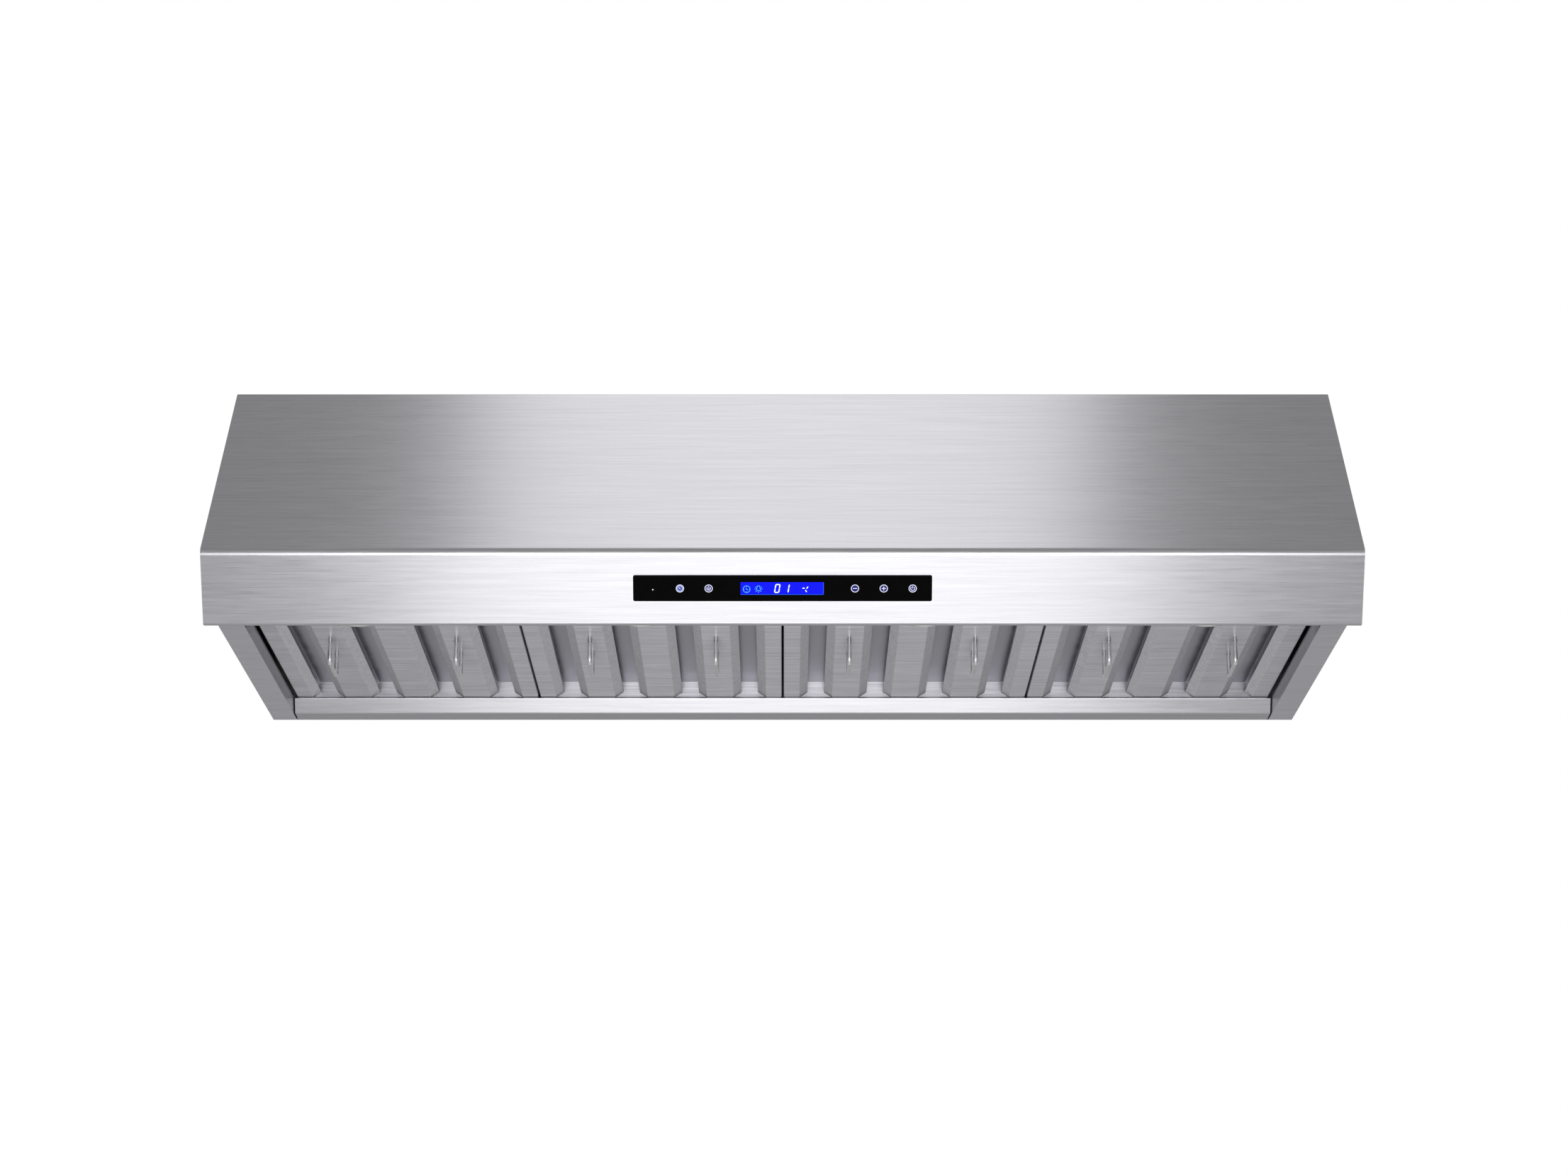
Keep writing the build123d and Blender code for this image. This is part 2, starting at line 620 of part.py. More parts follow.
with BuildPart() as motor_rotor:
    with BuildSketch(Plane.XY.offset(SHAFT_FOOT)):
        with Locations((BLOWER_X, BLOWER_Y)):
            Circle(SHAFT_RADIUS)
    extrude(amount=INSIDE_TOP - 2.5 - SHAFT_FOOT)
    with BuildSketch(Plane.XY.offset(MOTOR_FOOT + 2 * MOTOR_CAP + 1)):
        with Locations((BLOWER_X, BLOWER_Y)):
            Circle(ROTOR_RADIUS)
    extrude(amount=ROTOR_LONG)
finish_blower_part(motor_rotor, "motor_rotor")

# The impeller: a cup that clears the motor, a top rim, forward-curved blades, an end ring.
CUP_FOOT = MOTOR_FOOT - 8
with BuildPart() as impeller:
    with BuildSketch(Plane.XZ.offset(-BLOWER_Y)):
        with BuildLine():
            Polyline(
                (BLOWER_X + IMPELLER_RADIUS, IMPELLER_TOP),
                (BLOWER_X + CUP_RADIUS + 4, IMPELLER_TOP),
                (BLOWER_X + CUP_RADIUS - 6, CUP_FOOT),
                (BLOWER_X + SHAFT_RADIUS, CUP_FOOT),
                (BLOWER_X + SHAFT_RADIUS, CUP_FOOT - HUB_LONG),
                (BLOWER_X + HUB_RADIUS, CUP_FOOT - HUB_LONG),
                (BLOWER_X + HUB_RADIUS, CUP_FOOT - IMPELLER_SHEET),
                (BLOWER_X + CUP_RADIUS - 6 + IMPELLER_SHEET, CUP_FOOT - IMPELLER_SHEET),
                (BLOWER_X + CUP_RADIUS + 4 + IMPELLER_SHEET, IMPELLER_TOP - IMPELLER_SHEET),
                (BLOWER_X + IMPELLER_RADIUS, IMPELLER_TOP - IMPELLER_SHEET),
                close=True,
            )
        make_face()
    revolve(axis=AXIS)
    with BuildSketch(Plane.XY.offset(IMPELLER_FOOT)):
        with Locations((BLOWER_X, BLOWER_Y)):
            Circle(IMPELLER_RADIUS)
            Circle(BLADE_INNER - 1, mode=Mode.SUBTRACT)
    extrude(amount=IMPELLER_SHEET)
    with BuildSketch(Plane.XY.offset(IMPELLER_FOOT + 1)):
        with Locations((BLOWER_X, BLOWER_Y)):
            with PolarLocations(0, BLADES):
                SlotArc(BLADE_LINE, BLADE_THICK)
    extrude(amount=IMPELLER_TOP - IMPELLER_FOOT - 2)
finish_blower_part(impeller, "impeller")

# The collecting box between the blowers, open to both and to the collar above it.
PLENUM_FRONT, PLENUM_REAR = -56.0, 178.0
PLENUM_DEEP = PLENUM_REAR - PLENUM_FRONT
PLENUM_HIGH = BLOWER_TOP - BLOWER_BOTTOM
PLENUM_MIDDLE = (0, (PLENUM_FRONT + PLENUM_REAR) / 2, BLOWER_TOP - PLENUM_HIGH / 2)
OUTLET_FRONT = SCROLL_Y + SCROLL_RADIUS * sin(radians(45))
OUTLET_REAR = SCROLL_Y + SCROLL_RADIUS + 4 * SCROLL_STEP
with BuildPart() as collecting_box:
    with Locations(PLENUM_MIDDLE):
        Box(2 * PLENUM_HALF, PLENUM_DEEP, PLENUM_HIGH)
        Box(2 * PLENUM_HALF - 2 * WALL, PLENUM_DEEP - 2 * WALL, PLENUM_HIGH - 2 * WALL, mode=Mode.SUBTRACT)
    with Locations((0, (OUTLET_FRONT + OUTLET_REAR) / 2, (INSIDE_TOP + INSIDE_BOTTOM) / 2)):
        Box(
            3 * PLENUM_HALF,
            OUTLET_REAR - OUTLET_FRONT,
            INSIDE_TOP - INSIDE_BOTTOM,
            mode=Mode.SUBTRACT,
        )
    with BuildSketch(Plane.XY.offset(BLOWER_TOP)):
        with Locations((0, DUCT_Y)):
            Circle(COLLAR_RADIUS - SHEET)
            with PolarLocations(*COLLAR_SCREWS):
                Circle(SCREW_HOLES)
    extrude(amount=-WALL, mode=Mode.SUBTRACT)
save(collecting_box, "collecting_box")

# ---- Duct collar and its butterfly damper ----

with BuildPart() as duct_collar:
    with BuildSketch(Plane.XY):
        with Locations((0, DUCT_Y)):
            Circle(COLLAR_FLANGE)
            Circle(COLLAR_RADIUS - SHEET, mode=Mode.SUBTRACT)
            with PolarLocations(*COLLAR_SCREWS):
                Circle(SCREW_HOLES, mode=Mode.SUBTRACT)
    extrude(amount=SHEET)
    with BuildSketch(Plane.XY):
        with Locations((0, DUCT_Y)):
            Circle(COLLAR_RADIUS)
            Circle(COLLAR_RADIUS - SHEET, mode=Mode.SUBTRACT)
    extrude(amount=COLLAR_HEIGHT)
    with BuildSketch(Plane.XY.offset(PIVOT_Z - FLAP_THICK / 2 - RUNNING_GAP - STOP_HIGH)):
        with Locations((0, DUCT_Y)):
            Circle(COLLAR_RADIUS - SHEET / 2)
            Circle(COLLAR_RADIUS - SHEET - STOP_DEEP, mode=Mode.SUBTRACT)
    extrude(amount=STOP_HIGH)
    with Locations(Location((0, DUCT_Y, PIVOT_Z), (0, 90, 0))):
        Cylinder(PIN_RADIUS, 3 * COLLAR_RADIUS, mode=Mode.SUBTRACT)
save(duct_collar, "duct_collar")

with BuildPart() as damper_pin:
    with Locations(Location((0, DUCT_Y, PIVOT_Z), (0, 90, 0))):
        Cylinder(PIN_RADIUS, 2 * COLLAR_RADIUS - SHEET / 2)
save(damper_pin, "damper_pin")

for side, name, knuckles in ((-1, "front", (-70, 30)), (1, "rear", (-30, 70))):
    with BuildPart() as damper_flap:
        with BuildSketch(Plane.XY.offset(PIVOT_Z - FLAP_THICK / 2)):
            with Locations((0, DUCT_Y)):
                Circle(FLAP_RADIUS)
                with Locations((0, -side * (2 * FLAP_RADIUS - KNUCKLE_CLEAR))):
                    Rectangle(4 * FLAP_RADIUS, 4 * FLAP_RADIUS, mode=Mode.SUBTRACT)
            with Locations(*[(x, DUCT_Y + side * KNUCKLE_CLEAR) for x in knuckles]):
                Rectangle(KNUCKLE_LONG, 2 * KNUCKLE_CLEAR)
        extrude(amount=FLAP_THICK)
        with Locations(*[Location((x, DUCT_Y, PIVOT_Z), (0, 90, 0)) for x in knuckles]):
            Cylinder(KNUCKLE_RADIUS, KNUCKLE_LONG)
            Cylinder(PIN_RADIUS + RUNNING_FIT, 2 * KNUCKLE_LONG, mode=Mode.SUBTRACT)
    save(damper_flap, f"damper_flap_{name}")

# ---- Electrical parts under the top sheet ----

with BuildPart() as junction_box:
    with BuildSketch(Plane.XY.offset(-SHEET)):
        with Locations((CABLE_X, CABLE_Y)):
            Rectangle(JUNCTION_WIDE, JUNCTION_LONG)
            Rectangle(JUNCTION_WIDE - 2 * WALL, JUNCTION_LONG - 2 * WALL, mode=Mode.SUBTRACT)
    extrude(amount=-JUNCTION_DEEP)
save(junction_box, "junction_box")

with BuildPart() as junction_cover:
    with BuildSketch(Plane.XY.offset(-SHEET - JUNCTION_DEEP)):
        with Locations((CABLE_X, CABLE_Y)):
            Rectangle(JUNCTION_WIDE, JUNCTION_LONG)
    extrude(amount=-WALL)
    with BuildSketch(Plane.XY.offset(-SHEET - JUNCTION_DEEP)):
        with Locations((CABLE_X, CABLE_Y)):
            Rectangle(JUNCTION_WIDE - 2 * (WALL + COVER_GAP), JUNCTION_LONG - 2 * (WALL + COVER_GAP))
            Rectangle(JUNCTION_WIDE - 4 * WALL, JUNCTION_LONG - 4 * WALL, mode=Mode.SUBTRACT)
    extrude(amount=COVER_LIP)
save(junction_cover, "junction_cover")

with BuildPart() as run_capacitors:
    with BuildSketch(Plane.XY.offset(-SHEET)):
        with GridLocations(2 * CAPACITOR_X, 0, 2, 1):
            with Locations((0, CAPACITOR_Y)):
                Circle(CAPACITOR_RADIUS)
    extrude(amount=-CAPACITOR_LONG)
    chamfer(run_capacitors.edges().filter_by(GeomType.CIRCLE).group_by(Axis.Z)[0], CAPACITOR_CHAMFER)
save(run_capacitors, "run_capacitors")

# ---- Screws: four to each inlet ring, head down, and four to the collar, head up ----

with BuildPart() as pan_head_screws:
    for x in (-BLOWER_X, BLOWER_X):
        with BuildSketch(Plane.XY.offset(BLOWER_BOTTOM - INLET_FLANGE)):
            with Locations((x, BLOWER_Y)):
                with PolarLocations(*INLET_SCREWS):
                    Circle(SCREW_SHANK)
        extrude(amount=SCREW_LONG)
        with BuildSketch(Plane.XY.offset(BLOWER_BOTTOM - INLET_FLANGE)):
            with Locations((x, BLOWER_Y)):
                with PolarLocations(*INLET_SCREWS):
                    Circle(SCREW_HEAD)
        extrude(amount=-SCREW_HEAD_HIGH)
    with BuildSketch(Plane.XY.offset(SHEET)):
        with Locations((0, DUCT_Y)):
            with PolarLocations(*COLLAR_SCREWS):
                Circle(SCREW_SHANK)
    extrude(amount=-SCREW_LONG)
    with BuildSketch(Plane.XY.offset(SHEET)):
        with Locations((0, DUCT_Y)):
            with PolarLocations(*COLLAR_SCREWS):
                Circle(SCREW_HEAD)
    extrude(amount=SCREW_HEAD_HIGH)
save(pan_head_screws, "pan_head_screws")
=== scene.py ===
import json
from math import atan2, cos, pi, radians, sin, tan

import bmesh
import bpy
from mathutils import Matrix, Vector


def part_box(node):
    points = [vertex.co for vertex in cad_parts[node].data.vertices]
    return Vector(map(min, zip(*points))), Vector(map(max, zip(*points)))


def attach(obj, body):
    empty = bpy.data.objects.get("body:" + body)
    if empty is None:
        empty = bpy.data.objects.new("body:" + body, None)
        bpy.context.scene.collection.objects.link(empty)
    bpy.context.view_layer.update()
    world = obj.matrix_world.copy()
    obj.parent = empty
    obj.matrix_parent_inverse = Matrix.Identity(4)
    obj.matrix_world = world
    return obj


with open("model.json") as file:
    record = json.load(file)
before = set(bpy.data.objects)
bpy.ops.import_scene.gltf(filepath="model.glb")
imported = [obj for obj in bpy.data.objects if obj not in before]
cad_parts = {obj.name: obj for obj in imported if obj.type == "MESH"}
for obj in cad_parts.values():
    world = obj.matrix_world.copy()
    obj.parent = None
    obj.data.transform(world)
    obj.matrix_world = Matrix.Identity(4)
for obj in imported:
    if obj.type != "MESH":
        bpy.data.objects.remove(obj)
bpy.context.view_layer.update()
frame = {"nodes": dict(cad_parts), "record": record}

NODES = frame["nodes"]
MM = 0.001

# ---------------------------------------------------------------- materials


class Shader:
    """A small helper that builds one Principled material from named nodes."""

    def __init__(self, name, **sockets):
        self.material = bpy.data.materials.new(name)
        self.material.use_nodes = True
        self.tree = self.material.node_tree
        self.surface = self.tree.nodes["Principled BSDF"]
        for socket, value in sockets.items():
            self.surface.inputs[socket.replace("_", " ")].default_value = value

    def node(self, kind, **settings):
        made = self.tree.nodes.new(kind)
        for key, value in settings.items():
            setattr(made, key, value)
        return made

    def link(self, source, target):
        self.tree.links.new(source, target)

    def coordinates(self, scale):
        """Object coordinates stretched by a scale for each axis."""
        place = self.node("ShaderNodeTexCoord")
        stretch = self.node("ShaderNodeVectorMath", operation="MULTIPLY")
        stretch.inputs[1].default_value = scale
        self.link(place.outputs["Object"], stretch.inputs[0])
        return stretch.outputs[0]

    def noise(self, scale, detail=2.0, roughness=0.5):
        texture = self.node("ShaderNodeTexNoise")
        texture.inputs["Scale"].default_value = 1.0
        texture.inputs["Detail"].default_value = detail
        texture.inputs["Roughness"].default_value = roughness
        self.link(self.coordinates(scale), texture.inputs["Vector"])
        return texture.outputs["Fac"]

    def spread(self, value, low, high, clamp=True):
        """Map 0.3..0.7, where noise mostly lies, to low..high."""
        mapped = self.node("ShaderNodeMapRange", clamp=clamp)
        mapped.inputs["From Min"].default_value = 0.3
        mapped.inputs["From Max"].default_value = 0.7
        mapped.inputs["To Min"].default_value = low
        mapped.inputs["To Max"].default_value = high
        self.link(value, mapped.inputs["Value"])
        return mapped.outputs["Result"]

    def add(self, first, second):
        total = self.node("ShaderNodeMath", operation="ADD")
        self.link(first, total.inputs[0])
        self.link(second, total.inputs[1])
        return total.outputs[0]

    def tint(self, factor, dark, light):
        """A colour between dark and light into the base colour."""
        mix = self.node("ShaderNodeMix", data_type="RGBA")
        mix.inputs["A"].default_value = (*dark, 1)
        mix.inputs["B"].default_value = (*light, 1)
        self.link(factor, mix.inputs["Factor"])
        self.link(mix.outputs["Result"], self.surface.inputs["Base Color"])

    def bump(self, height, distance, strength=1.0):
        bump = self.node("ShaderNodeBump")
        bump.inputs["Distance"].default_value = distance
        bump.inputs["Strength"].default_value = strength
        self.link(height, bump.inputs["Height"])
        self.link(bump.outputs["Normal"], self.surface.inputs["Normal"])


GLOSS_CONTRAST = 0.03


def brushed(name, dark, light, rough, folded_about="X", anisotropy=0.6):
    """Stainless sheet with a long fine grain in colour, roughness and bump.

    A sheet folded about X has its grain along X. One folded about Y has it across the fold,
    so it runs up the wall and along X on the flange.
    """
    if folded_about == "X":
        long_axes, fine_axes = Vector((1, 0, 0)), Vector((0, 1, 1))
    else:
        long_axes, fine_axes = Vector((1, 0, 1)), Vector((0, 1, 0))

    def stretch(length, width):
        return long_axes / length + fine_axes / width

    shader = Shader(name, Metallic=1.0, Anisotropic=anisotropy, Anisotropic_Rotation=0.25)
    fine = shader.noise(stretch(0.045, 0.0007), 3.0, 0.6)
    broad = shader.noise(stretch(0.14, 0.003), 2.0, 0.5)
    streaks = shader.add(
        shader.spread(fine, -0.5, 0.5), shader.spread(broad, 0.2, 0.8, clamp=False)
    )
    shader.tint(streaks, dark, light)
    gloss = shader.spread(fine, rough - GLOSS_CONTRAST, rough + GLOSS_CONTRAST)
    shader.link(gloss, shader.surface.inputs["Roughness"])
    if folded_about == "X":
        tangent = shader.node("ShaderNodeCombineXYZ")
        tangent.inputs["X"].default_value = 1.0
        grain = tangent.outputs[0]
    else:
        facing = shader.node("ShaderNodeNewGeometry")
        across = shader.node("ShaderNodeVectorMath", operation="CROSS_PRODUCT")
        across.inputs[1].default_value = (0, 1, 0)
        shader.link(facing.outputs["True Normal"], across.inputs[0])
        grain = across.outputs[0]
    shader.link(grain, shader.surface.inputs["Tangent"])
    shader.bump(fine, 0.00002, 0.35)
    return shader.material


def speckled(name, dark, light, rough, metallic, grain=0.004, depth=0.00002, **sockets):
    """A plain finish with a fine mottle in colour, roughness and bump."""
    shader = Shader(name, Metallic=metallic, **sockets)
    mottle = shader.noise(Vector((1, 1, 1)) / grain, 4.0, 0.6)
    shader.tint(shader.spread(mottle, 0.0, 1.0), dark, light)
    shader.link(shader.spread(mottle, rough * 0.85, rough * 1.15), shader.surface.inputs["Roughness"])
    shader.bump(mottle, depth)
    return shader.material


SPANGLE = 190


def galvanised(name):
    """Zinc coated sheet: a spangle of flat crystals, each with its own shade."""
    shader = Shader(name, Metallic=0.9)
    spangle = shader.node("ShaderNodeTexVoronoi")
    spangle.inputs["Scale"].default_value = 1.0
    shader.link(shader.coordinates(Vector((SPANGLE, SPANGLE, SPANGLE))), spangle.inputs["Vector"])
    shade = shader.node("ShaderNodeSeparateColor")
    shader.link(spangle.outputs["Color"], shade.inputs[0])
    shader.tint(shade.outputs[0], (0.52, 0.53, 0.545), (0.62, 0.63, 0.645))
    shader.link(shader.spread(shade.outputs[1], 0.34, 0.46), shader.surface.inputs["Roughness"])
    shader.bump(shade.outputs[2], 0.00002)
    return shader.material


STEEL = brushed("stainless_sheet", (0.56, 0.555, 0.585), (0.66, 0.655, 0.685), 0.30)
SIDE_STEEL = brushed("stainless_side", (0.48, 0.475, 0.505), (0.62, 0.615, 0.645), 0.42, "Y", anisotropy=0.85)
BAFFLE_STEEL = brushed("stainless_baffle", (0.42, 0.415, 0.445), (0.66, 0.655, 0.685), 0.42, anisotropy=0.92)
CHROME = speckled("polished_wire", (0.90, 0.90, 0.90), (0.95, 0.95, 0.95), 0.12, 1.0, 0.006, 0.00001)
GLASS = speckled(
    "black_glass", (0.001, 0.001, 0.0012), (0.002, 0.002, 0.0024),
    0.12, 0.0, 0.01, 0.000002,
    Specular_IOR_Level=0.015,
)
ZINC = galvanised("galvanised_sheet")
ALUMINIUM = speckled("impeller_aluminium", (0.66, 0.67, 0.68), (0.74, 0.75, 0.76), 0.34, 1.0, 0.003)
BLACK_PAINT = speckled("motor_paint", (0.02, 0.02, 0.022), (0.035, 0.035, 0.038), 0.42, 0.0, 0.002)
LAMINATION = speckled("stator_laminations", (0.16, 0.16, 0.17), (0.24, 0.24, 0.25), 0.5, 0.8, 0.001)
SHAFT = speckled("ground_shaft", (0.55, 0.55, 0.56), (0.62, 0.62, 0.63), 0.22, 1.0, 0.001)
BLACK_PLASTIC = speckled("box_plastic", (0.03, 0.03, 0.033), (0.045, 0.045, 0.05), 0.5, 0.0, 0.0015)
BOARD = speckled("circuit_board", (0.01, 0.11, 0.05), (0.02, 0.17, 0.08), 0.45, 0.0, 0.004)
SPRING = speckled("spring_steel", (0.42, 0.42, 0.43), (0.52, 0.52, 0.53), 0.28, 1.0, 0.002)
# The rear baffle roofs get a darker, purple-tinted base colour: painted shade for the shade that falls in
# their recessed channels.
ROOF_STEEL_PAINTED_SHADE = speckled("baffle_roof_painted_shade", (0.44, 0.43, 0.48), (0.50, 0.49, 0.54), 0.36, 1.0, 0.02)
SCREW_ZINC = speckled("screw_zinc", (0.66, 0.67, 0.68), (0.76, 0.77, 0.78), 0.25, 1.0, 0.001)
RING_STEEL = speckled("lamp_ring_steel", (0.66, 0.66, 0.67), (0.76, 0.76, 0.77), 0.24, 1.0, 0.002)
LENS = speckled(
    "lamp_lens_frosted", (0.78, 0.78, 0.74), (0.84, 0.84, 0.80), 0.45, 0.0, 0.002,
    Emission_Color=(1.0, 0.98, 0.92, 1), Emission_Strength=0.15,
)
DISPLAY = speckled(
    "display_blue", (0.0, 0.0, 0.7), (0.0, 0.0, 0.9), 0.3, 0.0, 0.002,
    Emission_Color=(0.0, 0.0, 1.0, 1), Emission_Strength=1.0,
)

FINISHES = {
    "stainless": STEEL,
    "polished_wire": CHROME,
    "black_glass": GLASS,
    "display_blue": DISPLAY,
    "circuit_board": BOARD,
    "lamp_ring": RING_STEEL,
    "lamp_lens": LENS,
    "galvanised": ZINC,
    "impeller_sheet": ALUMINIUM,
    "motor_black": BLACK_PAINT,
    "laminations": LAMINATION,
    "shaft_steel": SHAFT,
    "capacitor_can": ALUMINIUM,
    "box_plastic": BLACK_PLASTIC,
    "spring_steel": SPRING,
    "screw_zinc": SCREW_ZINC,
}

for part in frame["record"]["subparts"]:
    name = part["node"]
    finish = FINISHES[part["material_slot"]]
    if name.startswith("side_panel"):
        finish = SIDE_STEEL
    if name.endswith("front_baffles") or name.endswith("_frame"):
        finish = BAFFLE_STEEL
    # Rear baffle roofs take the steel with painted shade in its base colour.
    if name.endswith("rear_baffles"):
        finish = ROOF_STEEL_PAINTED_SHADE
    mesh = NODES[name].data
    mesh.materials.clear()
    mesh.materials.append(finish)

# ---------------------------------------------------------------- touch panel graphics

FASCIA_LEAN = radians(30.9)
PANEL_RIGHT = Vector((1, 0, 0))
PANEL_UP = Vector((0, -sin(FASCIA_LEAN), cos(FASCIA_LEAN)))
PANEL_OUT = PANEL_RIGHT.cross(PANEL_UP)
GLASS_LOW, GLASS_HIGH = (Vector(corner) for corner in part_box("touch_glass"))
GLASS_MIDDLE = (GLASS_LOW + GLASS_HIGH) / 2
GLASS_NODE = NODES["touch_glass"]
GLASS_FACE = max(
    (GLASS_NODE.matrix_world @ vertex.co).dot(PANEL_OUT) for vertex in GLASS_NODE.data.vertices
)
PANEL_CENTRE = GLASS_MIDDLE + PANEL_OUT * (GLASS_FACE - GLASS_MIDDLE.dot(PANEL_OUT))
FILM = 0.04
PRINT_GRAIN = 1.5 * MM


def lit(name, colour, strength):
    """A backlit print: glowing, with a faint mottle in its brightness."""
    shader = Shader(name, Roughness=0.4, Specular_IOR_Level=0.1)
    shader.surface.inputs["Base Color"].default_value = (*(0.05 * part for part in colour), 1)
    mottle = shader.noise(Vector((1, 1, 1)) / PRINT_GRAIN, 3.0, 0.5)
    glow = shader.spread(mottle, 0.9 * strength, 1.1 * strength)
    shader.link(glow, shader.surface.inputs["Emission Strength"])
    shader.surface.inputs["Emission Color"].default_value = (*colour, 1)
    return shader.material


class PanelPrint:
    """Thin flat shapes on the glass, drawn in millimetres across and up from its centre."""

    def __init__(self, name, finish, layer):
        self.name, self.finish = name, finish
        self.height = (2 * layer + 1) * FILM
        self.mesh = bmesh.new()

    def outline(self, points):
        corners = [
            self.mesh.verts.new(
                PANEL_CENTRE + (PANEL_RIGHT * across + PANEL_UP * up + PANEL_OUT * self.height) * MM
            )
            for across, up in points
        ]
        self.mesh.faces.new(corners)

    def arc(self, centre, outer, inner, start=0.0, end=360.0, steps=48):
        """A ring, or part of one, between two angles in degrees."""
        turns = [radians(start + (end - start) * step / steps) for step in range(steps + 1)]
        for first, last in zip(turns, turns[1:]):
            self.outline(
                [
                    (centre[0] + radius * cos(turn), centre[1] + radius * sin(turn))
                    for radius, turn in ((inner, first), (outer, first), (outer, last), (inner, last))
                ]
            )

    def disc(self, centre, radius, start=0.0, end=360.0, steps=32):
        """A filled circle, or the segment of one between two angles in degrees."""
        count = steps + (end - start < 360)
        turns = [radians(start + (end - start) * step / steps) for step in range(count)]
        self.outline(
            [(centre[0] + radius * cos(turn), centre[1] + radius * sin(turn)) for turn in turns]
        )

    def stroke(self, start, end, width, steps=6):
        """A straight stroke with round ends."""
        along = Vector(end) - Vector(start)
        heading = atan2(along.y, along.x)
        points = []
        for middle, first in ((end, heading - pi / 2), (start, heading + pi / 2)):
            for step in range(steps + 1):
                turn = first + pi * step / steps
                points.append((middle[0] + width / 2 * cos(turn), middle[1] + width / 2 * sin(turn)))
        self.outline(points)

    def finish_piece(self):
        bmesh.ops.remove_doubles(self.mesh, verts=self.mesh.verts, dist=1e-6)
        data = bpy.data.meshes.new(self.name)
        self.mesh.to_mesh(data)
        self.mesh.free()
        data.materials.append(self.finish)
        piece = bpy.data.objects.new(self.name, data)
        bpy.context.scene.collection.objects.link(piece)
        film = piece.modifiers.new("film", "SOLIDIFY")
        film.thickness = FILM * MM
        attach(piece, "hood")


KEY_RING, KEY_LINE = 4.25, 0.8
BAR_HALF, BAR_LINE, BAR_GAP = 1.8, 0.85, 0.45
DOT, INDICATOR = 0.7, (-135.4, -1.3)
LIGHT_KEY, TIMER_KEY, MINUS_KEY, PLUS_KEY, POWER_KEY = (
    (across, 0) for across in (-107.1, -77.1, 75.6, 105.6, 135.8)
)

# Dim blue halos inside the key rings, and the bright blue ring of the light key. The numbers in the
# calls below are millimetres from the middle of the glass.
halos = PanelPrint("key_halos", lit("key_halo", (0.02, 0.03, 0.30), 0.5), 0)
for key in (LIGHT_KEY, TIMER_KEY, MINUS_KEY, PLUS_KEY, POWER_KEY):
    halos.disc(key, KEY_RING - KEY_LINE)
halos.finish_piece()

glow = PanelPrint("light_key_ring", lit("key_blue", (0.30, 0.38, 0.85), 0.9), 1)
glow.arc(LIGHT_KEY, 3.4, 1.9)
glow.finish_piece()

# White rings and symbols of the five keys, and the indicator dot.
symbols = PanelPrint("key_symbols", lit("key_white", (0.80, 0.80, 0.98), 1.0), 2)
for key in (LIGHT_KEY, TIMER_KEY, MINUS_KEY, PLUS_KEY, POWER_KEY):
    symbols.arc(key, KEY_RING, KEY_RING - KEY_LINE)
symbols.disc(INDICATOR, DOT)
symbols.disc(LIGHT_KEY, DOT)
symbols.stroke(LIGHT_KEY, (LIGHT_KEY[0] - 1.1, 1.1), 0.5)
symbols.arc(TIMER_KEY, 2.3, 1.7, 125, 415)
symbols.stroke((TIMER_KEY[0], 2.6), (TIMER_KEY[0], 0.9), 0.6)
symbols.disc(TIMER_KEY, 1.1, 180, 360)
for key in (MINUS_KEY, PLUS_KEY):
    symbols.stroke((key[0] - BAR_HALF, 0), (key[0] + BAR_HALF, 0), BAR_LINE)
for end in (1, -1):
    symbols.stroke((PLUS_KEY[0], BAR_GAP * end), (PLUS_KEY[0], BAR_HALF * end), BAR_LINE)
symbols.arc(POWER_KEY, 2.4, 1.7, 130, 410)
symbols.stroke((POWER_KEY[0], 2.4), (POWER_KEY[0], 0.4), 0.7)
symbols.finish_piece()

# The display: a blue field, a clock and a lamp in cyan, two digits and a fan mark in white.
FIELD_LEFT, FIELD_RIGHT, FIELD_HALF = -43.9, 42.9, 6.8
field = PanelPrint("display_field", lit("display_glow", (0.0, 0.004, 0.95), 1.0), 0)
field.outline(
    [
        (FIELD_LEFT, -FIELD_HALF),
        (FIELD_RIGHT, -FIELD_HALF),
        (FIELD_RIGHT, FIELD_HALF),
        (FIELD_LEFT, FIELD_HALF),
    ]
)
field.finish_piece()

edge = PanelPrint("display_edge", lit("display_edge_glow", (0.02, 0.12, 1.0), 1.0), 1)
edge.stroke((FIELD_LEFT + 0.4, -FIELD_HALF + 0.25), (FIELD_RIGHT - 0.4, -FIELD_HALF + 0.25), 0.5)
edge.stroke((FIELD_RIGHT - 0.35, -FIELD_HALF + 0.8), (FIELD_RIGHT - 0.35, FIELD_HALF - 0.5), 0.7)
edge.finish_piece()

CLOCK, LAMP_MARK = (-37.5, -0.8), (-25.1, -0.6)
MARK_LINE, HAND_LINE = 0.55, 0.7
marks = PanelPrint("display_marks", lit("display_cyan", (0.10, 0.55, 0.95), 1.1), 1)
marks.arc(CLOCK, 3.9, 3.9 - MARK_LINE)
for quarter in range(4):
    turn = quarter * pi / 2
    marks.stroke(
        (CLOCK[0] + 3.2 * cos(turn), CLOCK[1] + 3.2 * sin(turn)),
        (CLOCK[0] + 2.6 * cos(turn), CLOCK[1] + 2.6 * sin(turn)),
        MARK_LINE,
    )
marks.stroke((CLOCK[0] - 0.6, CLOCK[1] + 0.7), (CLOCK[0] + 0.8, CLOCK[1] - 0.8), HAND_LINE)
marks.arc(LAMP_MARK, 2.3, 2.3 - MARK_LINE, 125, 415)
marks.stroke((LAMP_MARK[0] - 1.3, 2.7), (LAMP_MARK[0] + 1.3, 2.7), MARK_LINE)
for hand in (-1, 1):
    marks.stroke((LAMP_MARK[0] + 1.3 * hand, 2.1), (LAMP_MARK[0] + 1.3 * hand, 1.7), MARK_LINE)
